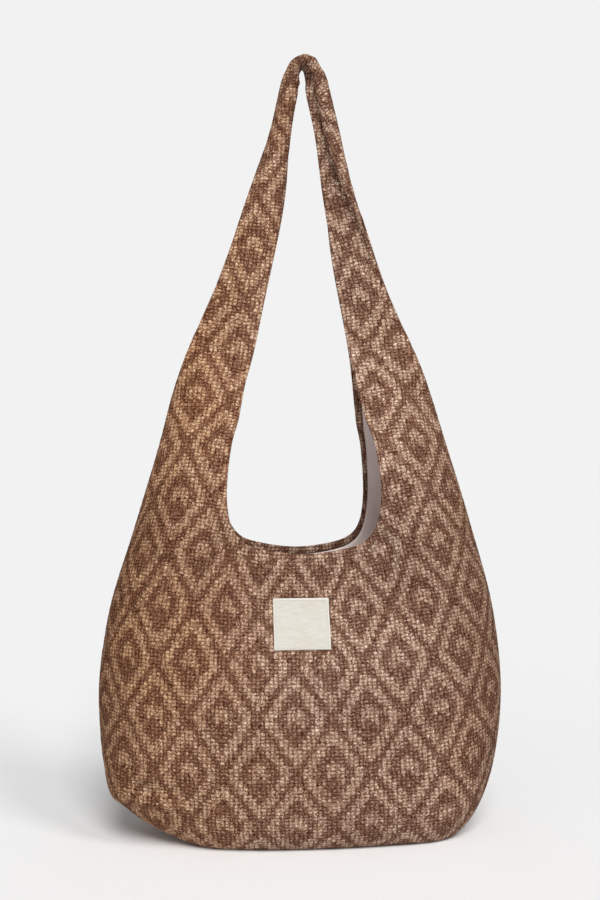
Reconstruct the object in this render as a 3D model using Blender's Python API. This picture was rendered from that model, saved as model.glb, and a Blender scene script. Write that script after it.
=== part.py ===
"""Slouch shoulder bag of coarse woven cloth, standing with its strap held up.

Metres, +X to the right, +Y to the back, +Z up. The origin is the middle of the flat base.
The front and the back panel each run up into two arms that meet over the top, so each
panel is a ring round the mouth. The ring is lofted through cross sections that run from
the mouth's edge to the outer seam. The lining follows the same sections inside the cloth.
"""

from collections import namedtuple

import bpy
import numpy as np
from mathutils import Vector
from mathutils.bvhtree import BVHTree

# Body
BODY_WIDTH = 0.380
WIDEST_HEIGHT = 0.120
BODY_DEPTH = 0.172
BASE_SETTLE = 0.005

# Mouth
MOUTH_HEIGHT = 0.265
MOUTH_GAP = 0.086
MOUTH_CORNER_GAP = 0.120

# The bag stands a little askew: each half has its own reach from the middle, of the flat
# base and of the mouth, and its own fullness of the shoulder below the strap
Half = namedtuple("Half", "base_reach mouth_reach shoulder")
RIGHT_HALF = Half(base_reach=0.139, mouth_reach=0.067, shoulder=1.02)
LEFT_HALF = Half(base_reach=0.106, mouth_reach=0.072, shoulder=0.90)

# Strap: its foot is where the front and back edges of the mouth come together. The cloth is
# gathered where it turns over its support, and a high TOP_POINT makes that turn pointed
FOOT_HEIGHT = 0.464
FOOT_SPREAD = 0.1455
FOOT_WIDTH = 0.0585
STRAP_TOP_HEIGHT = 0.7275
TOP_REACH = 0.0115
TOP_RISE = 0.0165
TOP_OFFSET = 0.0022
TOP_POINT = 2.2
TOP_TAPER = 1.2
STRAP_TOP_WIDTH = 0.038
STRAP_THICKNESS = 0.0052
FOLD_RADIUS = 0.004

# Cloth
CLOTH = 0.0013
LINING = 0.0006
HEM = 0.007
LAYER_GAP = 0.0003
LINING_TOP = 0.430

# Label: LABEL_OFFSET is how far it sits to the right of the middle
LABEL_WIDTH = 0.0505
LABEL_HEIGHT = 0.0432
LABEL_THICKNESS = 0.0008
LABEL_CENTRE_HEIGHT = 0.2045
LABEL_OFFSET = -0.0057

# Mesh
STATIONS = 72
COLUMNS = 11
TURN_WEIGHT = 0.05
FINE_STEPS = 24
FINE_COLUMNS = 240
LABEL_CELLS = 6

# A cross section of the bag, from the mouth's edge to the outer seam, both in the XZ plane.
# width is the cloth's flat width, rim and depth are half depths at the edge and where the
# section is fullest, and squareness is high where the section turns sharply at the outer
# seam. The two folds of the strap start at shares of its width, and each turns an edge
# through an angle, to the front, or to the back where it is negative. twist turns the
# whole section, its outer edge to the front.
Section = namedtuple(
    "Section", "inner outer width rim depth squareness start_in turn_in start_out turn_out twist"
)


UNFOLDED = (0.0, 0.0, 1.0, 0.0, 0.0)


def body_sections(half):
    """One half of the body, from the middle of the base up to the strap's foot."""
    half_body = BODY_WIDTH / 2
    rise = FOOT_HEIGHT - MOUTH_HEIGHT
    flank = FOOT_HEIGHT - WIDEST_HEIGHT
    foot_edge = (FOOT_SPREAD + FOOT_WIDTH) / 2
    middle_rim = MOUTH_GAP / 2
    corner_rim = MOUTH_CORNER_GAP / 2
    full = BODY_DEPTH / 2

    def mouth(across, up):
        return (across * half.mouth_reach, MOUTH_HEIGHT + up * rise)

    def side(out, up):
        fullness = 1 - (1 - half.shoulder) * np.sin(np.pi * up**2)
        return (foot_edge + fullness * out * (half_body - foot_edge), WIDEST_HEIGHT + up * flank)

    rows = (
        (mouth(0.00, 0.000), (0.0, -BASE_SETTLE), middle_rim, full, 5.4),
        (mouth(0.52, 0.022), (0.54 * half.base_reach, -BASE_SETTLE), 1.03 * middle_rim, full, 4.8),
        (mouth(0.80, 0.060), (half.base_reach, -0.4 * BASE_SETTLE), 0.83 * corner_rim, 0.99 * full, 3.5),
        (mouth(0.94, 0.130), (0.92 * half_body, 0.34 * WIDEST_HEIGHT), 0.91 * corner_rim, 0.97 * full, 2.6),
        (mouth(1.00, 0.240), side(1.00, 0.00), corner_rim, 0.93 * full, 2.2),
        (mouth(0.99, 0.365), side(0.92, 0.25), 0.96 * corner_rim, 0.84 * full, 2.1),
        (mouth(0.93, 0.515), side(0.67, 0.49), 0.80 * corner_rim, 0.70 * full, 2.1),
        (mouth(0.84, 0.625), side(0.435, 0.69), 0.57 * corner_rim, 0.50 * full, 2.2),
        (mouth(0.76, 0.770), side(0.235, 0.86), 0.27 * corner_rim, 0.26 * full, 2.6),
    )
    sections = []
    for inner, outer, rim, depth, squareness in rows:
        width = float(np.hypot(outer[0] - inner[0], outer[1] - inner[1]))
        sections.append(Section(inner, outer, width, rim, depth, squareness, *UNFOLDED))
    return sections


def arm_section(spread, rise, lean, taper, fold_in, fold_out, twist):
    """A section of an arm, placed by its share of the foot's spread and of the strap's rise."""
    centre = (spread * FOOT_SPREAD / 2, FOOT_HEIGHT + rise * (STRAP_TOP_HEIGHT - FOOT_HEIGHT))
    return strap_section(centre, lean, taper, fold_in, fold_out, twist)


def top_section(lean, fold_in, fold_out, twist):
    """A section where the strap bends over its support, in a pointed turn round one point."""
    angle = np.radians(lean)
    centre = (
        TOP_OFFSET + TOP_REACH * np.cos(angle),
        STRAP_TOP_HEIGHT - TOP_RISE + TOP_RISE * np.sin(angle) ** TOP_POINT,
    )
    return strap_section(centre, lean, TOP_TAPER, fold_in, fold_out, twist)


def strap_section(centre, lean, taper, fold_in, fold_out, twist):
    """One section across the strap. lean turns it from level, taper goes from the width at
    the foot to that at the top, and each fold is where it starts and how far it turns."""
    centre = np.array(centre)
    across = np.array((np.cos(np.radians(lean)), np.sin(np.radians(lean))))
    width = FOOT_WIDTH + taper * (STRAP_TOP_WIDTH - FOOT_WIDTH)
    inner = centre - across * width / 2
    outer = centre + across * width / 2
    half = STRAP_THICKNESS / 2
    folds = (fold_in[0], np.radians(fold_in[1]), fold_out[0], np.radians(fold_out[1]), np.radians(twist))
    return Section(tuple(inner), tuple(outer), width, 0.9 * half, half, 8.0, *folds)


def right_arm():
    """The right arm's outer edge curls over to the front."""
    return [
        arm_section(1.000, 0.00, 13, 0.00, (0.00, 0), (1.00, 0), 0),
        arm_section(0.695, 0.27, 16, 0.78, (0.05, -15), (0.80, 35), 6),
        arm_section(0.460, 0.53, 12, 0.92, (0.04, -15), (0.58, 120), 10),
        arm_section(0.320, 0.74, 14, 1.00, (0.04, -10), (0.46, 195), 12),
        arm_section(0.190, 0.90, 20, 1.05, (0.06, -10), (0.45, 205), 14),
    ]


def left_arm():
    """The left arm, drawn as if on the right, folds to the back along its middle."""
    return [
        arm_section(1.000, 0.00, 13, 0.00, (0.00, 0), (1.00, 0), 0),
        arm_section(0.695, 0.27, 16, 0.70, (0.12, -15), (0.82, -15), 6),
        arm_section(0.450, 0.53, 13, 0.90, (0.30, -50), (0.66, -45), 12),
        arm_section(0.290, 0.74, 14, 1.00, (0.44, -80), (0.54, -75), 15),
        arm_section(0.175, 0.90, 18, 1.20, (0.48, -90), (0.52, -80), 28),
    ]


def strap_top():
    """Over its support the strap turns from the right arm's fold to the left arm's."""
    return [
        top_section(30, (0.12, -20), (0.46, 195), 15),
        top_section(60, (0.25, -40), (0.48, 150), 25),
        top_section(90, (0.40, -60), (0.50, 90), 38),
        top_section(120, (0.46, -85), (0.52, 15), 50),
        top_section(150, (0.48, -90), (0.52, -45), 40),
    ]


def mirrored(section):
    """The same section on the left half."""
    inner = (-section.inner[0], section.inner[1])
    outer = (-section.outer[0], section.outer[1])
    return section._replace(inner=inner, outer=outer)


def ring_controls():
    """All sections in order: base, right side, right arm, top, left arm, left side."""
    left = [mirrored(section) for section in reversed(left_arm())]
    left += [mirrored(section) for section in reversed(body_sections(LEFT_HALF)[1:])]
    return body_sections(RIGHT_HALF) + right_arm() + strap_top() + left


def flat_row(section):
    """A section as one row of numbers, so that rows can be blended."""
    return np.array((*section.inner, *section.outer, *section[2:]))


def closed_spline(rows, steps):
    """Points of a smooth closed curve through the rows, with even parameter steps."""
    count = len(rows)
    points = []
    for k in range(count):
        a, b, c, d = (rows[(k + shift) % count] for shift in (-1, 0, 1, 2))
        for t in np.arange(steps) / steps:
            tangent_b = (c - a) / 2
            tangent_c = (d - b) / 2
            points.append(
                b * (2 * t**3 - 3 * t**2 + 1)
                + tangent_b * (t**3 - 2 * t**2 + t)
                + c * (3 * t**2 - 2 * t**3)
                + tangent_c * (t**3 - t**2)
            )
    return np.array(points)


def ring_stations():
    """Sections round the ring, evenly spaced but closer where the ring turns."""
    fine = closed_spline([flat_row(section) for section in ring_controls()], FINE_STEPS)
    middle = (fine[:, 0:2] + fine[:, 2:4]) / 2
    across = fine[:, 2:4] - fine[:, 0:2]
    heading = np.unwrap(np.arctan2(across[:, 1], across[:, 0]))
    turned = np.abs(np.diff(np.append(heading, heading[0] + 2 * np.pi)))
    steps = np.linalg.norm(np.roll(middle, -1, axis=0) - middle, axis=1) + TURN_WEIGHT * turned
    length = np.concatenate(((0.0,), np.cumsum(steps)))
    closed = np.vstack((fine, fine[:1]))
    targets = np.arange(STATIONS) / STATIONS * length[-1]
    even = np.column_stack([np.interp(targets, length, column) for column in closed.T])
    return [Section(tuple(row[0:2]), tuple(row[2:4]), *row[4:]) for row in even]


def smooth_step(value):
    value = np.clip(value, 0.0, 1.0)
    return value * value * (3 - 2 * value)


def profile(section):
    """The section's outer face as points (across, depth), and its outward normals."""
    share = 1 - (1 - np.linspace(0.0, 1.0, FINE_COLUMNS)) ** 3
    swell = section.rim + (section.depth - section.rim) * smooth_step(share / 0.45)
    power = section.squareness
    depth = swell * np.maximum(1 - share**power, 0.0) ** (1 / power)
    points = np.column_stack((share * section.width, depth))
    tangents = np.gradient(points, axis=0)
    normals = np.column_stack((-tangents[:, 1], tangents[:, 0]))
    normals /= np.linalg.norm(normals, axis=1)[:, None]
    return points, normals


def columns_of(points):
    """Distances along the profile: the edge, the hem's end, then closer towards the seam."""
    length = np.concatenate(((0.0,), np.cumsum(np.linalg.norm(np.diff(points, axis=0), axis=1))))
    share = 1 - (1 - np.arange(1, COLUMNS + 1) / COLUMNS) ** 1.5
    targets = np.concatenate(((0.0, HEM), HEM + share * (length[-1] - HEM)))
    return length, targets


def curled(across, section):
    """Where a flat strap's points go when its two edges fold over."""
    fine = np.linspace(0.0, section.width, FINE_COLUMNS)
    start_in = section.start_in * section.width
    start_out = section.start_out * section.width
    arc_in = max(FOLD_RADIUS * abs(section.turn_in), 1e-6)
    arc_out = max(FOLD_RADIUS * abs(section.turn_out), 1e-6)
    turn_in = section.turn_in * np.clip((start_in - fine) / arc_in, 0.0, 1.0)
    turn_out = section.turn_out * np.clip((fine - start_out) / arc_out, 0.0, 1.0)
    angle = turn_out - turn_in
    step = fine[1] - fine[0]
    along = np.concatenate(((0.0,), np.cumsum(np.cos((angle[1:] + angle[:-1]) / 2)) * step))
    forward = np.concatenate(((0.0,), np.cumsum(np.sin((angle[1:] + angle[:-1]) / 2)) * step))
    flat = np.argmin(np.abs(fine - (start_in + start_out) / 2))
    along -= along[flat]
    forward -= forward[flat]
    cosine, sine = np.cos(section.twist), np.sin(section.twist)
    along, forward = along * cosine - forward * sine, along * sine + forward * cosine
    along -= (along.max() + along.min()) / 2
    return [np.interp(across, fine, values) for values in (along, forward, angle + section.twist)]


def layer(section, depth_in, first, side):
    """World points of one face of a layer, depth_in metres inside the outer face.

    first is where the layer starts, as a distance from the mouth's edge, and side is
    -1 for the front and 1 for the back."""
    points, normals = profile(section)
    length, targets = columns_of(points)
    targets = np.concatenate(((first,), targets[targets > first + 1e-6]))
    inward = points - normals * depth_in
    across = np.interp(targets, length, inward[:, 0])
    depth = np.maximum(np.interp(targets, length, inward[:, 1]), LAYER_GAP / 2)
    along, forward, angle = curled(across, section)
    toward_front = -side * depth
    along = along - toward_front * np.sin(angle)
    forward = forward + toward_front * np.cos(angle)
    inner = np.array(section.inner)
    outer = np.array(section.outer)
    direction = (outer - inner) / np.linalg.norm(outer - inner)
    plane = (inner + outer) / 2 + along[:, None] * direction
    height = np.maximum(plane[:, 1], depth_in)
    return np.column_stack((plane[:, 0], -forward, height))


def cloth_loop(section, side):
    """Closed outline of the outer cloth's section, with its edge turned in as a hem."""
    outside = layer(section, 0.0, 0.0, side)
    hem = layer(section, 2 * CLOTH, 0.0, side)[:2]
    inside = layer(section, CLOTH, HEM, side)
    return np.vstack((outside, inside[::-1], hem[::-1]))


def lining_loop(section, side):
    """Closed outline of the lining's section, from the hem to the outer seam."""
    start = HEM + LAYER_GAP
    outside = layer(section, CLOTH + LAYER_GAP, start, side)
    inside = layer(section, CLOTH + LAYER_GAP + LINING, start, side)
    return np.vstack((outside, inside[::-1]))


def loft(loops, outside_count, closed, flip):
    """Triangles between loops of equal length, as points and faces.

    The first outside_count points of a loop are its outer face. The inner face runs the
    other way, so its quads are cut along the other diagonal: layers then stay parallel."""
    count = len(loops)
    size = len(loops[0])
    points = np.vstack(loops)
    faces = []
    for i in range(count if closed else count - 1):
        here = i * size
        there = (i + 1) % count * size
        for j in range(size):
            k = (j + 1) % size
            if j < outside_count - 1:
                faces.append((here + j, here + k, there + k))
                faces.append((here + j, there + k, there + j))
            else:
                faces.append((here + j, here + k, there + j))
                faces.append((here + k, there + k, there + j))
    if not closed:
        faces += end_cap(0, size, False)
        faces += end_cap((count - 1) * size, size, True)
    if flip:
        faces = [face[::-1] for face in faces]
    return points, faces


def end_cap(start, size, last):
    """Triangles that close the end of a thin strip whose two faces mirror each other."""
    faces = []
    for j in range(size // 2 - 1):
        a, b = start + j, start + j + 1
        c, d = start + size - 2 - j, start + size - 1 - j
        faces += [(a, c, b), (a, d, c)]
    return [face[::-1] for face in faces] if last else faces


def material(name, colour, roughness):
    made = bpy.data.materials.new(name)
    made.use_nodes = True
    shader = made.node_tree.nodes["Principled BSDF"]
    shader.inputs["Base Color"].default_value = (*colour, 1.0)
    shader.inputs["Roughness"].default_value = roughness
    shader.inputs["Metallic"].default_value = 0.0
    return made


def add_object(name, points, faces, finish):
    mesh = bpy.data.meshes.new(name)
    mesh.from_pydata([tuple(point) for point in points], [], faces)
    mesh.materials.append(finish)
    mesh.shade_smooth()
    made = bpy.data.objects.new(name, mesh)
    bpy.context.collection.objects.link(made)
    return made


def add_panel(name, side, stations):
    loops = [cloth_loop(section, side) for section in stations]
    points, faces = loft(loops, COLUMNS + 2, True, side > 0)
    add_object(name, points, faces, material(name, (0.24, 0.14, 0.09), 0.9))
    return points, faces


def add_lining(name, side, stations):
    """The lining is a band that stops in the strap's foot, on both arms."""
    lined = [section.inner[1] < LINING_TOP for section in stations]
    first = lined.index(False)
    last = len(lined) - lined[::-1].index(False)
    band = stations[last:] + stations[:first]
    loops = [lining_loop(section, side) for section in band]
    points, faces = loft(loops, len(loops[0]) // 2, False, side > 0)
    add_object(name, points, faces, material(name, (0.45, 0.37, 0.34), 0.85))


def add_label(panel_points, panel_faces):
    """A square of ribbon that lies on the front panel."""
    surface = BVHTree.FromPolygons([Vector(point) for point in panel_points], panel_faces)
    ahead = -BODY_DEPTH
    rows = []
    for depth in (LAYER_GAP + LABEL_THICKNESS, LAYER_GAP):
        for across in np.linspace(-0.5, 0.5, LABEL_CELLS + 1):
            for up in np.linspace(-0.5, 0.5, LABEL_CELLS + 1):
                right = LABEL_OFFSET + across * LABEL_WIDTH
                start = Vector((right, ahead, LABEL_CENTRE_HEIGHT + up * LABEL_HEIGHT))
                hit, normal, _, _ = surface.ray_cast(start, Vector((0.0, 1.0, 0.0)))
                rows.append(hit + normal * depth)
    side = LABEL_CELLS + 1
    back = side * side
    faces = []
    for i in range(LABEL_CELLS):
        for j in range(LABEL_CELLS):
            a = i * side + j
            faces.append((a, a + side, a + side + 1, a + 1))
            faces.append((back + a, back + a + 1, back + a + side + 1, back + a + side))
    border = [i * side for i in range(side)]
    border += [LABEL_CELLS * side + j for j in range(1, side)]
    border += [i * side + LABEL_CELLS for i in range(LABEL_CELLS - 1, -1, -1)]
    border += list(range(LABEL_CELLS - 1, 0, -1))
    for here, there in zip(border, border[1:] + border[:1]):
        faces.append((here, back + here, back + there, there))
    add_object("label_patch", rows, faces, material("label_patch", (0.78, 0.74, 0.64), 0.7))


def build():
    for old in list(bpy.data.objects):
        bpy.data.objects.remove(old)
    stations = ring_stations()
    points, faces = add_panel("front_panel", -1, stations)
    add_panel("back_panel", 1, stations)
    add_lining("front_lining", -1, stations)
    add_lining("back_lining", 1, stations)
    add_label(points, faces)


build()
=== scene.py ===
"""Looks of the slouch shoulder bag: woven cloth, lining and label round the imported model.

Metres, +X to the right, +Y to the back, +Z up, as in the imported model. The cloth is
lofted through the model's own cross sections, finely enough to carry each knot of the
weave. Each panel is laid out flat, so that the weave and its diamonds follow the cloth.
"""

import math
from collections import namedtuple

import bpy
import numpy as np
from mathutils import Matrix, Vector
from mathutils.bvhtree import BVHTree


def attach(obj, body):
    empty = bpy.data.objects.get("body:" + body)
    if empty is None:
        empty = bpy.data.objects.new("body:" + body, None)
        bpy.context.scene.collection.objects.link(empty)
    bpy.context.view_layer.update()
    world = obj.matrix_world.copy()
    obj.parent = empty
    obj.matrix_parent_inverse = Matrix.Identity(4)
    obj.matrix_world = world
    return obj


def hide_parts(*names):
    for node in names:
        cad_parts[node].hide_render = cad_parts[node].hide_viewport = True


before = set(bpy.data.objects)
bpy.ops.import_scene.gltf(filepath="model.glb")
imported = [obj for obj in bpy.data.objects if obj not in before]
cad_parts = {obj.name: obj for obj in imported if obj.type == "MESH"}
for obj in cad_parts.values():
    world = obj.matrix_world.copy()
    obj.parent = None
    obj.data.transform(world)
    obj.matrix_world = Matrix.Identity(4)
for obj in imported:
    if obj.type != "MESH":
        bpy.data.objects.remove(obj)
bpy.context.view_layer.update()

# Body, mouth and strap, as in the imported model
BODY_WIDTH = 0.380
WIDEST_HEIGHT = 0.120
BODY_DEPTH = 0.172
BASE_SETTLE = 0.005
MOUTH_HEIGHT = 0.265
MOUTH_GAP = 0.086
MOUTH_CORNER_GAP = 0.120
Half = namedtuple("Half", "base_reach mouth_reach shoulder")
RIGHT_HALF = Half(base_reach=0.139, mouth_reach=0.067, shoulder=1.02)
LEFT_HALF = Half(base_reach=0.106, mouth_reach=0.072, shoulder=0.90)
FOOT_HEIGHT = 0.464
FOOT_SPREAD = 0.1455
FOOT_WIDTH = 0.0585
STRAP_TOP_HEIGHT = 0.7275
TOP_REACH = 0.0115
TOP_RISE = 0.0165
TOP_OFFSET = 0.0022
TOP_POINT = 2.2
TOP_TAPER = 1.2
STRAP_TOP_WIDTH = 0.038
STRAP_THICKNESS = 0.0052
FOLD_RADIUS = 0.004
CLOTH = 0.0013
LINING = 0.0006
HEM = 0.007
LAYER_GAP = 0.0003
LINING_TOP = 0.430
LABEL_WIDTH = 0.0505
LABEL_HEIGHT = 0.0432
LABEL_THICKNESS = 0.0008
LABEL_CENTRE_HEIGHT = 0.2045
LABEL_OFFSET = -0.0057

# Weave: one knot, and the diamonds, whose centres lie a half step apart in both directions
KNOT_WIDTH = 0.00411
KNOT_HEIGHT = 0.00321
KNOTS_ACROSS = 8
KNOTS_UP = 15
HALF_STEP_ACROSS = KNOTS_ACROSS * KNOT_WIDTH
HALF_STEP_UP = KNOTS_UP * KNOT_HEIGHT
KNOT_RELIEF = 0.0003
THREAD = 0.0009

# Yarn colour as screen values, how bright the dark and the light fields are, the painted shade in
# the gaps between knots and the painted highlights on the raised and the sunken knots, up to the
# top tone. Darker yarn, and the painted shade, are also redder
YARN = (161, 131, 112)
DARK_FIELD = 0.86
LIGHT_FIELD = 1.82
GAP_PAINTED_SHADE = 0.37
RAISED_KNOT_PAINTED_HIGHLIGHT = 0.92
SUNKEN_KNOT_PAINTED_HIGHLIGHT = 0.48
TOP_TONE = 2.0
DEEPEN_GREEN = 1.33
DEEPEN_BLUE = 1.45
WARMER = (250, 230, 202)

# Mesh
STATIONS = 960
SPACING = 0.0020
INNER_SPACING = 0.012
LINING_COLUMNS = 90
LINING_STEP = 4
LABEL_CELLS = 60
SEAM_MARGIN = 0.003
SEAM_GROOVE = 0.0009
SEAM_REACH = 0.0018
FINE_STEPS = 60
FINE_COLUMNS = 480
TURN_WEIGHT = 0.01
CHART_STATIONS = 150
CHART_COLUMNS = 12
CHART_ROUNDS = 12

# Camera, and where a point of the photograph lies
PHOTO_SIZE = (600, 900)
VIEW_DISTANCE = 1.10
VIEW_AZIMUTH = -5.0
VIEW_TARGET = (-0.0015, 0.0, 0.36)
VIEW_HEIGHT = 0.855
SENSOR = 24.0

# Diamond centres seen in the photograph, as (across, up) half steps and pixels. They say
# how the cloth lies: in the strap's arms it leans towards the top
SEEN_DIAMONDS = (
    ((0, 0), (294, 716)),
    ((0, -2), (296, 825)),
    ((2, 0), (369, 714)),
    ((3, -1), (408, 766)),
    ((5, -1), (476, 755)),
    ((3, 3), (380, 550)),
    ((5, 3), (435, 540)),
    ((4, 6), (378, 392)),
    ((4, 8), (361, 295)),
    ((4, 10), (335, 187)),
    ((-2, 0), (220, 715)),
    ((-4, 0), (154, 710)),
    ((-2, 2), (228, 602)),
    ((-5, 1), (129, 655)),
    ((-3, 5), (216, 447)),
    ((-3, 7), (240, 345)),
    ((-3, 9), (256, 242)),
    ((4, 4), (395, 492)),
    ((-4, 4), (186, 498)),
    ((4, 2), (420, 592)),
    ((6, 2), (473, 588)),
    ((-6, 0), (108, 705)),
    ((-5, 3), (149, 549)),
    ((-5, -1), (131, 761)),
    ((5, 5), (417, 440)),
)
GUIDE_WEIGHT = 3.0

# Creases of the cloth: from one pixel to another, with the height and half width of the
# ridge, in metres and pixels, and the share of it that sinks beside it, on the line's left.
# The last two give the lower left side its waist
CREASES = (
    ((100, 664), (132, 592), 0.0024, 3.5, 0.9),
    ((112, 644), (158, 570), 0.0028, 3.5, 0.9),
    ((126, 622), (174, 554), 0.0024, 3.5, 0.9),
    ((88, 787), (196, 812), 0.0036, 7.0, 0.7),
    ((194, 448), (218, 422), 0.0012, 3.0, 0.8),
    ((309, 60), (328, 130), 0.0016, 2.8, 1.0),
    ((40, 742), (160, 734), -0.0045, 22.0, 0.0),
    ((40, 786), (160, 780), 0.0036, 10.0, 0.0),
)

# Small shifts of the strap's top: arm (-1 left, 1 right, 0 both), pixel, radii in pixels,
# way to the right and up in metres
SHIFTS = (
    (-1, (303, 82), (8.0, 9.0), (-0.0042, 0.0)),
    (1, (323, 66), (8.0, 9.0), (-0.0030, -0.0008)),
    (0, (302, 58), (4.0, 4.0), (0.0, 0.0022)),
)

Section = namedtuple(
    "Section", "inner outer width rim depth squareness start_in turn_in start_out turn_out twist"
)
UNFOLDED = (0.0, 0.0, 1.0, 0.0, 0.0)


def body_sections(half):
    """One half of the body, from the middle of the base up to the strap's foot."""
    half_body = BODY_WIDTH / 2
    rise = FOOT_HEIGHT - MOUTH_HEIGHT
    flank = FOOT_HEIGHT - WIDEST_HEIGHT
    foot_edge = (FOOT_SPREAD + FOOT_WIDTH) / 2
    middle_rim = MOUTH_GAP / 2
    corner_rim = MOUTH_CORNER_GAP / 2
    full = BODY_DEPTH / 2

    def mouth(across, up):
        return (across * half.mouth_reach, MOUTH_HEIGHT + up * rise)

    def side(out, up):
        fullness = 1 - (1 - half.shoulder) * np.sin(np.pi * up**2)
        return (foot_edge + fullness * out * (half_body - foot_edge), WIDEST_HEIGHT + up * flank)

    rows = (
        (mouth(0.00, 0.000), (0.0, -BASE_SETTLE), middle_rim, full, 5.4),
        (mouth(0.52, 0.022), (0.54 * half.base_reach, -BASE_SETTLE), 1.03 * middle_rim, full, 4.8),
        (mouth(0.80, 0.060), (half.base_reach, -0.4 * BASE_SETTLE), 0.83 * corner_rim, 0.99 * full, 3.5),
        (mouth(0.94, 0.130), (0.92 * half_body, 0.34 * WIDEST_HEIGHT), 0.91 * corner_rim, 0.97 * full, 2.6),
        (mouth(1.00, 0.240), side(1.00, 0.00), corner_rim, 0.93 * full, 2.2),
        (mouth(0.99, 0.365), side(0.92, 0.25), 0.96 * corner_rim, 0.84 * full, 2.1),
        (mouth(0.93, 0.515), side(0.67, 0.49), 0.80 * corner_rim, 0.70 * full, 2.1),
        (mouth(0.84, 0.625), side(0.435, 0.69), 0.57 * corner_rim, 0.50 * full, 2.2),
        (mouth(0.76, 0.770), side(0.235, 0.86), 0.27 * corner_rim, 0.26 * full, 2.6),
    )
    sections = []
    for inner, outer, rim, depth, squareness in rows:
        width = float(np.hypot(outer[0] - inner[0], outer[1] - inner[1]))
        sections.append(Section(inner, outer, width, rim, depth, squareness, *UNFOLDED))
    return sections


def strap_section(centre, lean, taper, fold_in, fold_out, twist):
    """One section across the strap. lean turns it from level, taper goes from the width at
    the foot to that at the top, and each fold is where it starts and how far it turns."""
    centre = np.array(centre)
    across = np.array((np.cos(np.radians(lean)), np.sin(np.radians(lean))))
    width = FOOT_WIDTH + taper * (STRAP_TOP_WIDTH - FOOT_WIDTH)
    inner = centre - across * width / 2
    outer = centre + across * width / 2
    half = STRAP_THICKNESS / 2
    turn_in, turn_out = np.radians(fold_in[1]), np.radians(fold_out[1])
    folds = (fold_in[0], turn_in, fold_out[0], turn_out, np.radians(twist))
    return Section(tuple(inner), tuple(outer), width, 0.9 * half, half, 8.0, *folds)


def arm_section(spread, rise, lean, taper, fold_in, fold_out, twist):
    centre = (spread * FOOT_SPREAD / 2, FOOT_HEIGHT + rise * (STRAP_TOP_HEIGHT - FOOT_HEIGHT))
    return strap_section(centre, lean, taper, fold_in, fold_out, twist)


def top_section(lean, fold_in, fold_out, twist):
    """A section where the strap bends over its support, in a pointed turn round one point."""
    angle = np.radians(lean)
    centre = (
        TOP_OFFSET + TOP_REACH * np.cos(angle),
        STRAP_TOP_HEIGHT - TOP_RISE + TOP_RISE * np.sin(angle) ** TOP_POINT,
    )
    return strap_section(centre, lean, TOP_TAPER, fold_in, fold_out, twist)


def right_arm():
    """The right arm's outer edge curls over to the front."""
    return [
        arm_section(1.000, 0.00, 13, 0.00, (0.00, 0), (1.00, 0), 0),
        arm_section(0.695, 0.27, 16, 0.78, (0.05, -15), (0.80, 35), 6),
        arm_section(0.460, 0.53, 12, 0.92, (0.04, -15), (0.58, 120), 10),
        arm_section(0.320, 0.74, 14, 1.00, (0.04, -10), (0.46, 195), 12),
        arm_section(0.190, 0.90, 20, 1.05, (0.06, -10), (0.45, 205), 14),
    ]


def left_arm():
    """The left arm, drawn as if on the right, folds to the back along its middle."""
    return [
        arm_section(1.000, 0.00, 13, 0.00, (0.00, 0), (1.00, 0), 0),
        arm_section(0.695, 0.27, 16, 0.70, (0.12, -15), (0.82, -15), 6),
        arm_section(0.450, 0.53, 13, 0.90, (0.30, -50), (0.66, -45), 12),
        arm_section(0.290, 0.74, 14, 1.00, (0.44, -80), (0.54, -75), 15),
        arm_section(0.175, 0.90, 18, 1.20, (0.48, -90), (0.52, -80), 28),
    ]


def strap_top():
    """Over its support the strap turns from the right arm's fold to the left arm's. The
    middle section is the seam between the two arms."""
    return [
        top_section(30, (0.12, -20), (0.46, 195), 15),
        top_section(60, (0.25, -40), (0.48, 150), 25),
        top_section(90, (0.40, -60), (0.50, 90), 38),
        top_section(120, (0.46, -85), (0.52, 15), 50),
        top_section(150, (0.48, -90), (0.52, -45), 40),
    ]


def mirrored(section):
    inner = (-section.inner[0], section.inner[1])
    outer = (-section.outer[0], section.outer[1])
    return section._replace(inner=inner, outer=outer)


def ring_controls():
    """All sections in order, from the strap's seam down the left arm, round the body and up
    the right arm."""
    right = body_sections(RIGHT_HALF) + right_arm()
    left = [mirrored(section) for section in reversed(left_arm())]
    left += [mirrored(section) for section in reversed(body_sections(LEFT_HALF)[1:])]
    top = strap_top()
    seam = len(top) // 2
    return top[seam:] + left + right + top[:seam]


def closed_spline(rows, steps):
    """Points of a smooth closed curve through the rows, with even parameter steps."""
    count = len(rows)
    points = []
    t = (np.arange(steps) / steps)[:, None]
    for k in range(count):
        a, b, c, d = (rows[(k + shift) % count] for shift in (-1, 0, 1, 2))
        points.append(
            b * (2 * t**3 - 3 * t**2 + 1)
            + (c - a) / 2 * (t**3 - 2 * t**2 + t)
            + c * (3 * t**2 - 2 * t**3)
            + (d - b) / 2 * (t**3 - t**2)
        )
    return np.vstack(points)


def ring_sections(count):
    """Evenly spaced sections round the ring. The first and the last are the same seam."""
    rows = [np.array((*s.inner, *s.outer, *s[2:])) for s in ring_controls()]
    fine = closed_spline(rows, FINE_STEPS)
    fine = np.vstack((fine, fine[:1]))
    middle = (fine[:, 0:2] + fine[:, 2:4]) / 2
    across = fine[:, 2:4] - fine[:, 0:2]
    turned = np.abs(np.diff(np.unwrap(np.arctan2(across[:, 1], across[:, 0]))))
    steps = np.linalg.norm(np.diff(middle, axis=0), axis=1) + TURN_WEIGHT * turned
    length = np.concatenate(((0.0,), np.cumsum(steps)))
    targets = np.linspace(0.0, length[-1], count + 1)
    even = np.column_stack([np.interp(targets, length, column) for column in fine.T])
    return [Section(tuple(row[0:2]), tuple(row[2:4]), *row[4:]) for row in even]


def smooth_step(value):
    value = np.clip(value, 0.0, 1.0)
    return value * value * (3 - 2 * value)


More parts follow.
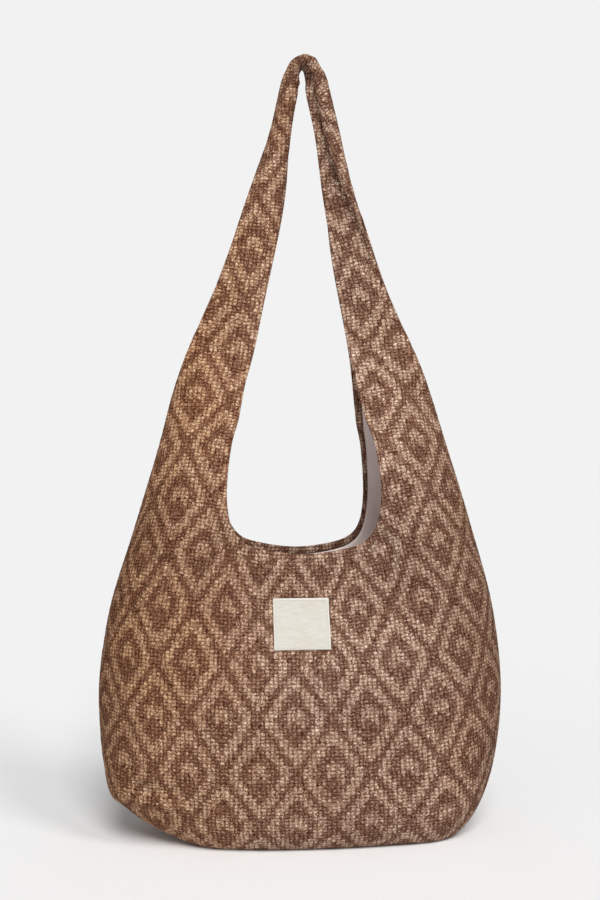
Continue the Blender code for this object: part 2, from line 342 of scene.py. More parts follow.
class Slice:
    """One cross section, ready to place points on it."""

    def __init__(self, section, folded=True):
        self.section = section
        self.folded = folded
        share = 1 - (1 - np.linspace(0.0, 1.0, FINE_COLUMNS)) ** 3
        swell = section.rim + (section.depth - section.rim) * smooth_step(share / 0.45)
        power = section.squareness
        depth = swell * np.maximum(1 - share**power, 0.0) ** (1 / power)
        self.points = np.column_stack((share * section.width, depth))
        tangents = np.gradient(self.points, axis=0)
        normals = np.column_stack((-tangents[:, 1], tangents[:, 0]))
        self.normals = normals / np.linalg.norm(normals, axis=1)[:, None]
        steps = np.linalg.norm(np.diff(self.points, axis=0), axis=1)
        self.lengths = np.concatenate(((0.0,), np.cumsum(steps)))
        self.length = self.lengths[-1]
        self.fine, self.curl = self.curl_table()

    def curl_table(self):
        """Where the flat strap's points go when its two edges fold over."""
        section = self.section
        fine = np.linspace(0.0, section.width, FINE_COLUMNS)
        if not self.folded:
            return fine, (fine - section.width / 2, 0 * fine, 0 * fine)
        arc_in = max(FOLD_RADIUS * abs(section.turn_in), 1e-6)
        arc_out = max(FOLD_RADIUS * abs(section.turn_out), 1e-6)
        turn_in = np.clip((section.start_in * section.width - fine) / arc_in, 0.0, 1.0)
        turn_out = np.clip((fine - section.start_out * section.width) / arc_out, 0.0, 1.0)
        angle = section.turn_out * turn_out - section.turn_in * turn_in
        between = (angle[1:] + angle[:-1]) / 2
        step = fine[1] - fine[0]
        along = np.concatenate(((0.0,), np.cumsum(np.cos(between)) * step))
        forward = np.concatenate(((0.0,), np.cumsum(np.sin(between)) * step))
        middle = (section.start_in + section.start_out) * section.width / 2
        flat = np.argmin(np.abs(fine - middle))
        along -= along[flat]
        forward -= forward[flat]
        cosine, sine = np.cos(section.twist), np.sin(section.twist)
        along, forward = along * cosine - forward * sine, along * sine + forward * cosine
        along -= (along.max() + along.min()) / 2
        return fine, (along, forward, angle + section.twist)

    def place(self, distances, depths, side):
        """World points at distances from the mouth's edge and depths inside the outer face.
        side is -1 for the front and 1 for the back."""
        across, depth = (
            np.interp(distances, self.lengths, self.points[:, k])
            - np.interp(distances, self.lengths, self.normals[:, k]) * depths
            for k in (0, 1)
        )
        depth = np.maximum(depth, np.where(depths < CLOTH, 0.0, LAYER_GAP / 2))
        along, forward, angle = (np.interp(across, self.fine, values) for values in self.curl)
        toward_front = -side * depth
        along = along - toward_front * np.sin(angle)
        forward = forward + toward_front * np.cos(angle)
        inner = np.array(self.section.inner)
        outer = np.array(self.section.outer)
        direction = (outer - inner) / np.linalg.norm(outer - inner)
        plane = (inner + outer) / 2 + along[:, None] * direction
        height = np.maximum(plane[:, 1], depths)
        return np.column_stack((plane[:, 0], -forward, height))


def view_ray(pixel):
    """Start and direction of the camera's ray through a pixel of the photograph."""
    azimuth = math.radians(VIEW_AZIMUTH)
    target = Vector(VIEW_TARGET)
    start = target + Vector((math.sin(azimuth), -math.cos(azimuth), 0.0)) * VIEW_DISTANCE
    right = Vector((math.cos(azimuth), math.sin(azimuth), 0.0))
    scale = VIEW_HEIGHT / PHOTO_SIZE[1]
    across = (pixel[0] - PHOTO_SIZE[0] / 2) * scale
    down = (pixel[1] - PHOTO_SIZE[1] / 2) * scale
    seen = target + right * across - Vector((0.0, 0.0, 1.0)) * down
    return start, (seen - start).normalized()


def chart_grid(folded, side):
    """Coarse points of one panel's outer face, in rows round the ring."""
    shares = np.linspace(0.0, 1.0, CHART_COLUMNS + 1)
    rows = []
    for section in ring_sections(CHART_STATIONS):
        cut = Slice(section, folded)
        rows.append(cut.place(shares * cut.length, np.zeros(len(shares)), side))
    return np.array(rows)


def grid_triangles(rows, columns):
    a = (np.arange(rows - 1)[:, None] * columns + np.arange(columns - 1)).ravel()
    b, c, d = a + 1, a + columns + 1, a + columns
    return np.vstack((np.column_stack((a, b, c)), np.column_stack((a, c, d))))


def seen_guides(triangles):
    """Which triangle of the front's chart shows each seen diamond, and where in it."""
    points = chart_grid(True, -1).reshape(-1, 3)
    corners = [tuple(map(int, t)) for t in triangles]
    surface = BVHTree.FromPolygons([Vector(p) for p in points], corners)
    guides = []
    for lattice, pixel in SEEN_DIAMONDS:
        hit, _, index, _ = surface.ray_cast(*view_ray(pixel))
        if hit is None:
            continue
        corners = points[triangles[index]]
        shares, *_ = np.linalg.lstsq(
            np.vstack((corners.T, np.full(3, 1.0))), np.append(np.array(hit), 1.0), rcond=None
        )
        target = (lattice[0] * HALF_STEP_ACROSS, lattice[1] * HALF_STEP_UP)
        guides.append((triangles[index], shares, target))
    return guides


def cloth_chart(side):
    """Flat cloth coordinates of a panel's chart points: each triangle keeps its shape as
    well as it can, while the seen diamonds keep their places."""
    grid = chart_grid(True, side)
    rows, columns = grid.shape[:2]
    points = grid.reshape(-1, 3)
    triangles = grid_triangles(rows, columns)
    corners = points[triangles]
    first = corners[:, 1] - corners[:, 0]
    second = corners[:, 2] - corners[:, 0]
    along = first / np.linalg.norm(first, axis=1)[:, None]
    normal = np.cross(first, second)
    normal /= np.linalg.norm(normal, axis=1)[:, None]
    up = np.cross(normal, along)
    local = np.zeros((len(triangles), 3, 2))
    local[:, 1, 0] = np.einsum("ij,ij->i", first, along)
    local[:, 2, 0] = np.einsum("ij,ij->i", second, along)
    local[:, 2, 1] = np.einsum("ij,ij->i", second, up)

    size = len(points)
    system = np.zeros((size, size))
    pulls = []
    for k in range(3):
        i, j, o = k, (k + 1) % 3, (k + 2) % 3
        a = local[:, i] - local[:, o]
        b = local[:, j] - local[:, o]
        cross = a[:, 0] * b[:, 1] - a[:, 1] * b[:, 0]
        weight = np.clip(np.einsum("ij,ij->i", a, b) / np.abs(cross), 0.05, 20.0)
        start, end = triangles[:, i], triangles[:, j]
        np.add.at(system, (start, start), weight)
        np.add.at(system, (end, end), weight)
        np.add.at(system, (start, end), -weight)
        np.add.at(system, (end, start), -weight)
        pulls.append((start, end, weight, local[:, j] - local[:, i]))
    fixed = np.zeros((size, 2))
    for corner, shares, target in seen_guides(triangles):
        system[np.ix_(corner, corner)] += GUIDE_WEIGHT * np.outer(shares, shares)
        fixed[corner] += GUIDE_WEIGHT * shares[:, None] * np.array(target)
    inverse = np.linalg.inv(system + 1e-9 * np.eye(size))

    flat = chart_grid(False, side).reshape(-1, 3)[:, [0, 2]]
    for _ in range(CHART_ROUNDS):
        turn = np.zeros((len(triangles), 2))
        for start, end, weight, edge in pulls:
            image = flat[end] - flat[start]
            turn[:, 0] += weight * np.einsum("ij,ij->i", edge, image)
            turn[:, 1] += weight * (edge[:, 0] * image[:, 1] - edge[:, 1] * image[:, 0])
        turn /= np.maximum(np.linalg.norm(turn, axis=1), 1e-12)[:, None]
        total = fixed.copy()
        for start, end, weight, edge in pulls:
            turned = np.column_stack(
                (
                    turn[:, 0] * edge[:, 0] - turn[:, 1] * edge[:, 1],
                    turn[:, 1] * edge[:, 0] + turn[:, 0] * edge[:, 1],
                )
            )
            np.add.at(total, end, weight[:, None] * turned)
            np.add.at(total, start, -weight[:, None] * turned)
        flat = inverse @ total
    return flat.reshape(rows, columns, 2)


def chart_at(chart, around, across):
    """Cloth coordinates at one share round the ring and several shares across."""
    row = around * CHART_STATIONS
    low = min(int(row), CHART_STATIONS - 1)
    blend = row - low
    line = chart[low] * (1 - blend) + chart[low + 1] * blend
    shares = np.linspace(0.0, 1.0, CHART_COLUMNS + 1)
    return np.column_stack([np.interp(across, shares, line[:, k]) for k in (0, 1)])


def knot_height(flat):
    """Height of the weave at cloth coordinates, from 0 in the gaps to 1 on a raised knot."""
    wave = np.sin(np.pi * flat[:, 0] / KNOT_WIDTH) * np.sin(np.pi * flat[:, 1] / KNOT_HEIGHT)
    return np.where(wave > 0, np.abs(wave) ** 0.7, 0.6 * np.abs(wave))


def seen_at(points):
    """Pixels of the photograph where world points appear."""
    start, _ = view_ray((0, 0))
    azimuth = math.radians(VIEW_AZIMUTH)
    relative = points - np.array(start)
    ahead = relative @ np.array((-math.sin(azimuth), math.cos(azimuth), 0.0))
    across = relative @ np.array((math.cos(azimuth), math.sin(azimuth), 0.0))
    scale = VIEW_HEIGHT / PHOTO_SIZE[1]
    reach = VIEW_DISTANCE / (ahead * scale)
    down = VIEW_TARGET[2] - points[:, 2]
    return np.column_stack((PHOTO_SIZE[0] / 2 + across * reach, PHOTO_SIZE[1] / 2 + down * reach))


def crease_lift(points):
    """How far the creases raise the cloth at world points."""
    pixels = seen_at(points)
    lift = np.zeros(len(points))
    for start, end, height, width, hollow in CREASES:
        start, end = np.array(start, float), np.array(end, float)
        length = np.linalg.norm(end - start)
        along = (end - start) / length
        relative = pixels - start
        share = relative @ along / length
        off = (relative[:, 0] * along[1] - relative[:, 1] * along[0]) / width
        fade = smooth_step(share / 0.35) * smooth_step((1 - share) / 0.35)
        lift += height * fade * (np.exp(-(off**2)) - hollow * np.exp(-((off - 1.6) ** 2)))
    return lift


def shifted(points, arm):
    """World points of one arm after the small shifts of the strap's top."""
    pixels = seen_at(points)
    moved = points.copy()
    for side, centre, radii, way in SHIFTS:
        if side * arm < 0:
            continue
        off = np.linalg.norm((pixels - np.array(centre, float)) / np.array(radii), axis=1)
        moved[:, [0, 2]] += np.exp(-(off**2))[:, None] * np.array(way)
    return moved


def creased(cut, distances, depths, side):
    """World points of a section, all layers raised alike by the creases."""
    face = cut.place(distances, 0 * distances, side)
    above = cut.place(distances, 0 * distances - 0.001, side)
    lift = crease_lift(face)
    points = cut.place(distances, depths, side) + (above - face) / 0.001 * lift[:, None]
    return shifted(points, cut.section.inner[0] + cut.section.outer[0])


def zip_rows(start_a, shares_a, start_b, shares_b, faces):
    """Triangles between two rows of points that may have different counts."""
    i = j = 0
    last_a, last_b = len(shares_a) - 1, len(shares_b) - 1
    while i < last_a or j < last_b:
        if j == last_b or (i < last_a and shares_a[i + 1] <= shares_b[j + 1]):
            faces.append((start_a + i, start_a + i + 1, start_b + j))
            i += 1
        else:
            faces.append((start_a + i, start_b + j + 1, start_b + j))
            j += 1


def cloth_rows(cut):
    """Distances and depths of one closed outline of the cloth, and where its outer face
    ends. It goes round the folded edge, out to the seam, and back inside to the hem."""
    bend = CLOTH * (1 - np.cos(np.radians((0, 25, 50, 70))))
    bend_depth = CLOTH * (1 - np.sin(np.radians((0, 25, 50, 70))))
    count = max(int(round((cut.length - CLOTH) / SPACING)), 8)
    outside = np.linspace(CLOTH, cut.length, count + 1)
    distances = np.concatenate((bend, outside))
    groove = SEAM_GROOVE * np.exp(-(((cut.length - outside) / SEAM_REACH) ** 2))
    depths = np.concatenate((bend_depth, groove))
    hem = np.concatenate((np.linspace(HEM, CLOTH, 5), bend[:0:-1]))
    hem_depth = np.concatenate((np.full(5, 2 * CLOTH), 2 * CLOTH - bend_depth[:0:-1]))
    inner_count = max(int(round(cut.length / INNER_SPACING)), 3)
    inside = np.linspace(cut.length, HEM, inner_count + 1)
    distances = np.concatenate((distances, inside, hem))
    depths = np.concatenate((depths, np.full(len(inside), CLOTH), hem_depth))
    return distances, depths, (len(bend) + count + 1, len(inside), len(hem))


def build_cloth(name, side, cuts):
    """One panel of outer cloth as a closed mesh with the weave's knots on its faces."""
    chart = cloth_chart(side)
    points, flats, starts, parts = [], [], [], []
    lifts = []
    total = 0
    for k, cut in enumerate(cuts):
        distances, depths, counts = cloth_rows(cut)
        flat = chart_at(chart, k / STATIONS, distances / cut.length)
        points.append(creased(cut, distances, depths, side))
        flats.append(flat)
        fade = smooth_step(distances / (2 * CLOTH)) * smooth_step((cut.length - distances) / 0.003)
        fade[counts[0] : counts[0] + counts[1]] = 0.0
        lifts.append(KNOT_RELIEF * fade * knot_height(flat))
        starts.append(total)
        parts.append((distances / cut.length, counts))
        total += len(distances)
    faces = []
    for k in range(len(cuts) - 1):
        (share_a, (na, ia, ha)), (share_b, (nb, ib, hb)) = parts[k], parts[k + 1]
        a, b = starts[k], starts[k + 1]
        zip_rows(a, share_a[:na], b, share_b[:nb], faces)
        zip_rows(a + na - 1, np.linspace(0, 1, ia + 1), b + nb - 1, np.linspace(0, 1, ib + 1), faces)
        hem_a = np.arange(ha + 1) / ha
        zip_rows(a + na + ia - 1, hem_a, b + nb + ib - 1, hem_a, faces)
        faces += [(a + na + ia + ha - 1, a, b), (a + na + ia + ha - 1, b, b + nb + ib + hb - 1)]
    points = np.vstack(points)
    flats = np.vstack(flats)
    lifts = np.concatenate(lifts)
    faces = np.array(faces)
    if side > 0:
        faces = faces[:, ::-1]
    last = starts[-1]
    wrapped = np.where(faces >= last, faces - last, faces)
    mesh = bpy.data.meshes.new(name)
    mesh.from_pydata(points[:last], [], wrapped.tolist())
    normals = np.empty(last * 3)
    mesh.vertices.foreach_get("normal", normals)
    moved = points[:last] + normals.reshape(-1, 3) * lifts[:last, None]
    moved[:, 2] = np.maximum(moved[:, 2], 0.0)
    mesh.vertices.foreach_set("co", moved.ravel())
    layer = mesh.uv_layers.new(name="cloth")
    layer.data.foreach_set("uv", flats[faces.ravel()].ravel())
    mesh.shade_smooth()
    mesh.update()
    return mesh


def lining_mesh(name, side, cuts):
    """The lining hangs inside the cloth, from under the hem down to the outer seam."""
    lined = [cut.section.inner[1] < LINING_TOP for cut in cuts]
    first, last = lined.index(True), len(lined) - lined[::-1].index(True)
    columns = LINING_COLUMNS
    rows = []
    for cut in cuts[first:last:LINING_STEP]:
        start = HEM + LAYER_GAP
        distances = np.linspace(start, cut.length - SEAM_MARGIN, columns)
        outside = CLOTH + LAYER_GAP
        out = creased(cut, distances, np.full(columns, outside), side)
        back = creased(cut, distances, np.full(columns, outside + LINING), side)[::-1]
        rows.append(np.vstack((out, back)))
    count, size = len(rows), 2 * columns
    points = np.vstack(rows)
    faces = []
    for i in range(count - 1):
        for j in range(size):
            k = (j + 1) % size
            faces.append((i * size + j, i * size + k, (i + 1) * size + k, (i + 1) * size + j))
    for base, turned in ((0, False), ((count - 1) * size, True)):
        for j in range(columns - 1):
            face = (base + j, base + size - 1 - j, base + size - 2 - j, base + j + 1)
            faces.append(face[::-1] if turned else face)
    if side > 0:
        faces = [face[::-1] for face in faces]
    mesh = bpy.data.meshes.new(name)
    mesh.from_pydata(points.tolist(), [], faces)
    mesh.shade_smooth()
    return mesh


def label_mesh(name, surface):
    """The ribbon square, laid on the woven front."""
    cells = LABEL_CELLS
    columns, thickness = cells + 1, (LAYER_GAP + LABEL_THICKNESS, LAYER_GAP)
    points = []
    for depth in thickness:
        for across in np.linspace(-0.5, 0.5, columns):
            for up in np.linspace(-0.5, 0.5, columns):
                right = LABEL_OFFSET + across * LABEL_WIDTH
                start = Vector((right, -BODY_DEPTH, LABEL_CENTRE_HEIGHT + up * LABEL_HEIGHT))
                hit, normal, _, _ = surface.ray_cast(start, Vector((0.0, 1.0, 0.0)))
                points.append(hit + normal * (depth + 0.5 * KNOT_RELIEF))
    back = columns * columns
    faces = []
    for i in range(cells):
        for j in range(cells):
            a = i * columns + j
            faces.append((a, a + columns, a + columns + 1, a + 1))
            faces.append((back + a, back + a + 1, back + a + columns + 1, back + a + columns))
    border = [i * columns for i in range(columns)]
    border += [cells * columns + j for j in range(1, columns)]
    border += [i * columns + cells for i in range(cells - 1, -1, -1)]
    border += list(range(cells - 1, 0, -1))
    for here, there in zip(border, border[1:] + border[:1]):
        faces.append((here, back + here, back + there, there))
    mesh = bpy.data.meshes.new(name)
    mesh.from_pydata(points, [], faces)
    mesh.shade_smooth()
    return mesh


class Graph:
    """Short names for the shader nodes of one material."""

    def __init__(self, name):
        self.material = bpy.data.materials.new(name)
        self.material.use_nodes = True
        self.tree = self.material.node_tree
        self.shader = self.tree.nodes["Principled BSDF"]

    def node(self, kind, settings=None, **inputs):
        made = self.tree.nodes.new(kind)
        for key, value in (settings or {}).items():
            setattr(made, key, value)
        for key, value in inputs.items():
            self.feed(made.inputs[int(key[1:]) if key[0] == "_" else key], value)
        return made

    def feed(self, socket, value):
        if isinstance(value, bpy.types.NodeSocket):
            self.tree.links.new(value, socket)
        else:
            socket.default_value = value

    def math(self, operation, a, b=0.0, c=0.0):
        made = self.node("ShaderNodeMath", {"operation": operation}, _0=a, _1=b, _2=c)
        return made.outputs[0]

    def vector(self, operation, a, b=(0.0, 0.0, 0.0)):
        made = self.node("ShaderNodeVectorMath", {"operation": operation}, _0=a, _1=b)
        return made.outputs[0]

    def range(self, value, low, high, to_low=0.0, to_high=1.0, smooth=True):
        made = self.node("ShaderNodeMapRange", _0=value, _1=low, _2=high, _3=to_low, _4=to_high)
        made.interpolation_type = "SMOOTHSTEP" if smooth else "LINEAR"
        return made.outputs[0]

    def mix(self, share, a, b, blend="MIX"):
        made = self.node("ShaderNodeMix", {"data_type": "RGBA", "blend_type": blend})
        for index, value in ((0, share), (6, a), (7, b)):
            if isinstance(value, tuple):
                value = (*value, 1.0)
            self.feed(made.inputs[index], value)
        return made.outputs[2]

    def noise(self, vector, scale, detail=2.0):
        return self.node("ShaderNodeTexNoise", Vector=vector, Scale=scale, Detail=detail)

    def finish(self, colour, roughness, height, distance, strength):
        self.feed(self.shader.inputs["Base Color"], colour)
        self.feed(self.shader.inputs["Roughness"], roughness)
        bump = self.node("ShaderNodeBump", Height=height, Distance=distance, Strength=strength)
        self.feed(self.shader.inputs["Normal"], bump.outputs[0])
        return self.material


def linear(red, green, blue):
    """A colour given as 0 to 255 screen values, in the shader's linear units."""
    shares = (red / 255, green / 255, blue / 255)
    return tuple(s / 12.92 if s <= 0.04045 else ((s + 0.055) / 1.055) ** 2.4 for s in shares)


def woven_material():
    """Coarse plain weave in light and dark yarn. The diamonds are drawn knot by knot, with painted shade in
    the gaps, painted highlights on the knots, painted shade on the far sides and painted light on the upper
    cloth.
    """
    g = Graph("woven_cloth")
    flat = g.node("ShaderNodeUVMap", {"uv_map": "cloth"}).outputs[0]
    slow = g.noise(flat, 70.0, 2.0).outputs["Color"]
    slow = g.vector("MULTIPLY", g.vector("SUBTRACT", slow, (0.5, 0.5, 0.5)), (0.0016, 0.0016, 0.0))
    quick = g.noise(flat, 330.0, 2.0).outputs["Color"]
    quick = g.vector("MULTIPLY", g.vector("SUBTRACT", quick, (0.5, 0.5, 0.5)), (0.0046, 0.0036, 0.0))
    calm = g.vector("ADD", flat, slow)
    cell = g.vector("FLOOR", g.vector("DIVIDE", calm, (KNOT_WIDTH, KNOT_HEIGHT, 1.0)))
    centre = g.vector("ADD", cell, (0.5, 0.5, 0.0))
    flat = g.vector("ADD", calm, quick)
    turns = g.vector("DIVIDE", flat, (KNOT_WIDTH, KNOT_HEIGHT, 1.0))
    split = g.node("ShaderNodeSeparateXYZ", _0=turns)
    wave_u = g.math("SINE", g.math("MULTIPLY", split.outputs[0], math.pi))
    wave_v = g.math("SINE", g.math("MULTIPLY", split.outputs[1], math.pi))
    wave = g.math("MULTIPLY", wave_u, wave_v)
    over = g.math("GREATER_THAN", wave, 0.0)
    dome = g.math("ABSOLUTE", wave)
    peak = g.math("MULTIPLY", over, g.math("POWER", dome, 1.6))
    valley = g.math("MULTIPLY", g.math("SUBTRACT", 1.0, over), g.math("POWER", dome, 0.7))
    chance = g.node("ShaderNodeTexWhiteNoise", {"noise_dimensions": "2D"}, Vector=centre)
    luck = g.node("ShaderNodeSeparateColor", _0=chance.outputs["Color"])

    place = g.vector("DIVIDE", centre, (KNOTS_ACROSS, KNOTS_UP, 1.0))
    place = g.vector("ADD", place, (0.04, 0.05, 0.0))
    spot = g.node("ShaderNodeSeparateXYZ", _0=place)
    plus = g.math("MULTIPLY", g.math("ADD", spot.outputs[0], spot.outputs[1]), 0.5)
    minus = g.math("MULTIPLY", g.math("SUBTRACT", spot.outputs[0], spot.outputs[1]), 0.5)
    plus = g.math("SUBTRACT", plus, g.math("ROUND", plus))
    minus = g.math("SUBTRACT", minus, g.math("ROUND", minus))
    x = g.math("ABSOLUTE", g.math("ADD", plus, minus))
    y = g.math("SUBTRACT", plus, minus)
    high = g.math("ABSOLUTE", y)
    power = 1.12
    reach = g.math("ADD", g.math("POWER", x, power), g.math("POWER", high, power))
    reach = g.math("POWER", reach, 1 / power)
    jitter = g.math("MULTIPLY", g.math("SUBTRACT", luck.outputs[0], 0.5), 0.07)
    reach = g.math("ADD", reach, jitter)
    band = g.math("MULTIPLY", g.range(reach, 0.52, 0.60), g.range(reach, 0.87, 0.79))
    arch_top = g.range(g.math("ADD", y, g.math("MULTIPLY", x, 0.45)), 0.27, 0.19)
    arch_low = g.range(g.math("ADD", y, g.math("MULTIPLY", x, 0.85)), -0.02, 0.06)
    arch_side = g.range(g.math("ADD", x, jitter), 0.27, 0.21)
    arch = g.math("MULTIPLY", g.math("MULTIPLY", arch_top, arch_low), arch_side)
    light = g.math("MAXIMUM", band, arch)

    shade = g.range(light, 0.0, 1.0, DARK_FIELD, LIGHT_FIELD, smooth=False)
    # Painted shade in the gaps between knots and a painted highlight on each knot's dome, brighter on the
    # raised knots than on the sunken ones
    painted_knot_shading = g.math("ADD", GAP_PAINTED_SHADE, g.math("MULTIPLY", peak, RAISED_KNOT_PAINTED_HIGHLIGHT))
    painted_knot_shading = g.math("ADD", painted_knot_shading, g.math("MULTIPLY", valley, SUNKEN_KNOT_PAINTED_HIGHLIGHT))
    shade = g.math("MULTIPLY", shade, painted_knot_shading)
    shade = g.math("MULTIPLY", shade, g.math("ADD", 0.87, g.math("MULTIPLY", luck.outputs[2], 0.26)))
    fibre = g.noise(g.vector("MULTIPLY", flat, (1350.0, 1550.0, 1.0)), 1.0, 3.0).outputs[0]
    shade = g.math("MULTIPLY", shade, g.range(fibre, 0.32, 0.68, 0.42, 1.42))
    thread = g.vector("FLOOR", g.vector("DIVIDE", flat, (THREAD, THREAD, 1.0)))
    grain = g.node("ShaderNodeTexWhiteNoise", {"noise_dimensions": "2D"}, Vector=thread).outputs[0]
    shade = g.math("MULTIPLY", shade, g.range(grain, 0.0, 1.0, 0.30, 1.52, smooth=False))
    shade = g.math("MINIMUM", shade, TOP_TONE)
    broad = g.node("ShaderNodeSeparateColor", _0=g.noise(flat, 9.0, 2.0).outputs["Color"])
    shade = g.math("MULTIPLY", shade, g.range(broad.outputs[1], 0.3, 0.7, 0.92, 1.08))
    # Darker tones, the painted shade among them, turn redder
    green = g.math("POWER", shade, DEEPEN_GREEN)
    blue = g.math("POWER", shade, DEEPEN_BLUE)
    yarn = g.node("ShaderNodeCombineColor", _0=shade, _1=green, _2=blue).outputs[0]
    yarn = g.mix(1.0, yarn, linear(*YARN), "MULTIPLY")
    place = g.node("ShaderNodeSeparateXYZ", _0=flat)
    # Painted shade: the cloth darker towards the far right and the far left, and redder as it darkens
    painted_side_shade = g.range(place.outputs[0], 0.10, 0.23, 1.0, 0.80)
    painted_side_shade = g.math("MULTIPLY", painted_side_shade, g.range(place.outputs[0], -0.23, -0.12, 0.84, 1.0))
    # Painted light: the cloth brighter from the shoulders up
    raised = g.range(place.outputs[1], 0.12, 0.26, 1.0, 1.10)
    raised = g.node("ShaderNodeCombineColor", _0=raised, _1=raised, _2=raised).outputs[0]
    yarn = g.mix(1.0, yarn, raised, "MULTIPLY")
    green, blue = (g.math("POWER", painted_side_shade, power) for power in (1.4, 1.8))
    painted_side_shade = g.node("ShaderNodeCombineColor", _0=painted_side_shade, _1=green, _2=blue).outputs[0]
    yarn = g.mix(1.0, yarn, painted_side_shade, "MULTIPLY")
    tan = g.math("ADD", g.range(place.outputs[0], -0.17, 0.05, 1.0, 0.1), broad.outputs[0])
    tan = g.math("ADD", tan, g.math("MULTIPLY", luck.outputs[1], 0.3))
    warmer = g.mix(1.0, yarn, linear(*WARMER), "MULTIPLY")
    colour = g.mix(g.range(tan, 0.7, 1.8, smooth=False), yarn, warmer)
    hairs = g.math("MULTIPLY", fibre, 0.7)
    height = g.math("ADD", g.math("MULTIPLY", valley, 0.5), g.math("ADD", peak, hairs))
    g.shader.inputs["Specular IOR Level"].default_value = 0.1
    return g.finish(colour, g.range(fibre, 0.0, 1.0, 0.82, 0.98), height, 0.0007, 0.8)


def lining_material():
    """Smooth fine cotton in a mauve grey."""
    g = Graph("lining_cloth")
    place = g.node("ShaderNodeTexCoord").outputs["Object"]
    cloud = g.noise(place, 18.0, 3.0).outputs[0]
    weave = g.noise(place, 1200.0, 1.0)
    colour = g.mix(g.range(cloud, 0.3, 0.7), linear(238, 222, 217), linear(247, 233, 228))
    colour = g.mix(g.math("MULTIPLY", weave.outputs[0], 0.12), colour, linear(196, 176, 170))
    g.shader.inputs["Sheen Weight"].default_value = 0.1
    return g.finish(colour, g.range(cloud, 0.0, 1.0, 0.75, 0.9), weave.outputs[0], 0.0002, 0.3)


def label_material():
    """Cream ribbon with a fine level rib and a narrow folded border, with a painted highlight on the folded
    edge, a painted shadow just inside it and faint painted shade in the rib's troughs.
    """
    g = Graph("label_ribbon")
    place = g.node("ShaderNodeTexCoord").outputs["Object"]
    split = g.node("ShaderNodeSeparateXYZ", _0=place)
    rib = g.math("SINE", g.math("MULTIPLY", split.outputs[2], 2 * math.pi / 0.0011))
    thread = g.noise(g.vector("MULTIPLY", place, (120.0, 120.0, 1100.0)), 1.0, 2.0).outputs[0]
    aside = g.math("ABSOLUTE", g.math("SUBTRACT", split.outputs[0], LABEL_OFFSET))
    above = g.math("ABSOLUTE", g.math("SUBTRACT", split.outputs[2], LABEL_CENTRE_HEIGHT))
    edge = g.math(
        "MINIMUM", g.math("SUBTRACT", LABEL_WIDTH / 2, aside), g.math("SUBTRACT", LABEL_HEIGHT / 2, above)
    )
    border = g.range(edge, 0.0016, 0.0012)
    stain = g.noise(place, 60.0, 2.0).outputs[0]
    colour = g.mix(g.range(thread, 0.3, 0.7), linear(196, 192, 183), linear(208, 205, 197))
    colour = g.mix(g.range(stain, 0.35, 0.7, 0.0, 0.35), colour, linear(200, 191, 171))
    # Faint painted shade in the troughs of the rib
    colour = g.mix(g.range(rib, -1.0, 1.0, 0.10, 0.0), colour, linear(162, 157, 146))
    # Painted shadow just inside the folded border, and a painted highlight along the folded edge
    fold = g.math("MULTIPLY", g.range(edge, 0.0023, 0.0016), g.math("SUBTRACT", 1.0, border))
    colour = g.mix(g.math("MULTIPLY", fold, 0.30), colour, linear(150, 142, 126))
    colour = g.mix(g.math("MULTIPLY", border, 0.85), colour, linear(216, 213, 205))
    height = g.math("ADD", rib, g.math("MULTIPLY", thread, 1.5))
    height = g.math("ADD", height, g.math("MULTIPLY", border, 3.0))
    return g.finish(colour, g.range(thread, 0.0, 1.0, 0.65, 0.8), height, 0.00012, 0.5)


def add_piece(name, mesh, finish, slot, *nodes):
    mesh.materials.append(finish)
    piece = bpy.data.objects.new(name, mesh)
    bpy.context.scene.collection.objects.link(piece)
    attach(piece, "root")
    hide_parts(*nodes)
    return piece


def build_bag():
    cuts = [Slice(section) for section in ring_sections(STATIONS)]
    woven = woven_material()
    front = build_cloth("front_cloth", -1, cuts)
    add_piece("front_cloth", front, woven, "woven_cloth", "front_panel")
    back = build_cloth("back_cloth", 1, cuts)
    add_piece("back_cloth", back, woven, "woven_cloth", "back_panel")
    lining = lining_material()
    for side, node in ((-1, "front_lining"), (1, "back_lining")):
        name = node + "_cloth"
        add_piece(name, lining_mesh(name, side, cuts), lining, "lining", node)
    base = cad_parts["front_panel"].data
    surface = BVHTree.FromPolygons(
        [vertex.co for vertex in base.vertices], [tuple(face.vertices) for face in base.polygons]
    )
    label = label_mesh("label", surface)
    add_piece("label", label, label_material(), "label", "label_patch")


BACKGROUND = linear(242, 242, 242)
FLOOR_SIZE = 60.0
FLOOR_COLOUR = (0.932, 0.932, 0.932)
FLOOR_SINK = 0.0005
WORLD_LIGHT = 0.25


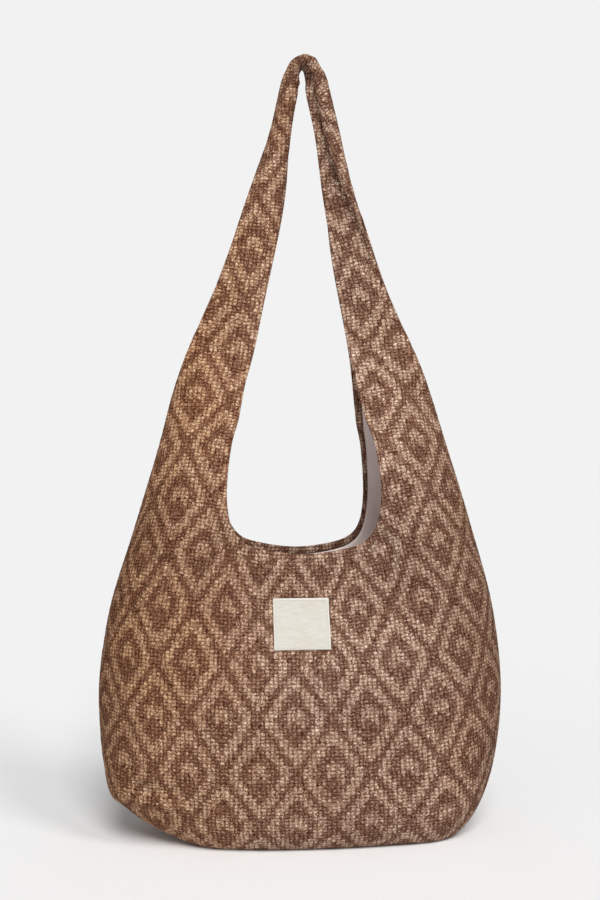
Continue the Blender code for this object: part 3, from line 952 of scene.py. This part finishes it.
def flat_world():
    world = bpy.data.worlds.new("studio")
    bpy.context.scene.world = world
    world.use_nodes = True
    nodes, links = world.node_tree.nodes, world.node_tree.links
    soft = nodes["Background"]
    soft.inputs[0].default_value = (1.0, 1.0, 1.0, 1.0)
    soft.inputs[1].default_value = WORLD_LIGHT
    seen = nodes.new("ShaderNodeBackground")
    seen.inputs[0].default_value = (*BACKGROUND, 1.0)
    path = nodes.new("ShaderNodeLightPath")
    mix = nodes.new("ShaderNodeMixShader")
    links.new(path.outputs["Is Camera Ray"], mix.inputs[0])
    links.new(soft.outputs[0], mix.inputs[1])
    links.new(seen.outputs[0], mix.inputs[2])
    links.new(mix.outputs[0], nodes["World Output"].inputs[0])


def add_floor():
    """A wide pale floor that runs into the background."""
    mesh = bpy.data.meshes.new("floor")
    half = FLOOR_SIZE / 2
    corners = [(-half, -half, 0), (half, -half, 0), (half, half, 0), (-half, half, 0)]
    mesh.from_pydata(corners, [], [(0, 1, 2, 3)])
    floor = bpy.data.objects.new("floor", mesh)
    bpy.context.scene.collection.objects.link(floor)
    g = Graph("floor")
    g.shader.inputs["Base Color"].default_value = (*FLOOR_COLOUR, 1.0)
    g.shader.inputs["Roughness"].default_value = 1.0
    g.shader.inputs["Specular IOR Level"].default_value = 0.0
    mesh.materials.append(g.material)
    floor.location.z = -FLOOR_SINK


def add_sun(name, azimuth, elevation, strength, spread):
    """A soft far light. azimuth 0 shines from the camera's side, 90 from the right."""
    lamp = bpy.data.lights.new(name, "SUN")
    lamp.energy = strength
    lamp.angle = math.radians(spread)
    sun = bpy.data.objects.new(name, lamp)
    bpy.context.scene.collection.objects.link(sun)
    a, e = math.radians(azimuth), math.radians(elevation)
    toward = Vector((math.sin(a) * math.cos(e), -math.cos(a) * math.cos(e), math.sin(e)))
    sun.rotation_euler = toward.to_track_quat("Z", "Y").to_euler()


def add_camera():
    camera = bpy.data.cameras.new("camera")
    camera.sensor_fit = "VERTICAL"
    camera.sensor_height = SENSOR
    camera.lens = SENSOR * VIEW_DISTANCE / VIEW_HEIGHT
    eye = bpy.data.objects.new("camera", camera)
    bpy.context.scene.collection.objects.link(eye)
    start, _ = view_ray((PHOTO_SIZE[0] / 2, PHOTO_SIZE[1] / 2))
    eye.location = start
    eye.rotation_euler = (Vector(VIEW_TARGET) - start).to_track_quat("-Z", "Y").to_euler()
    bpy.context.scene.camera = eye


bpy.context.scene.view_settings.view_transform = "Standard"
add_camera()
flat_world()
add_floor()
add_sun("side", 42, 46, 0.72, 14)
add_sun("front", 4, 46, 2.20, 26)
add_sun("fill", -35, 16, 0.38, 60)
build_bag()
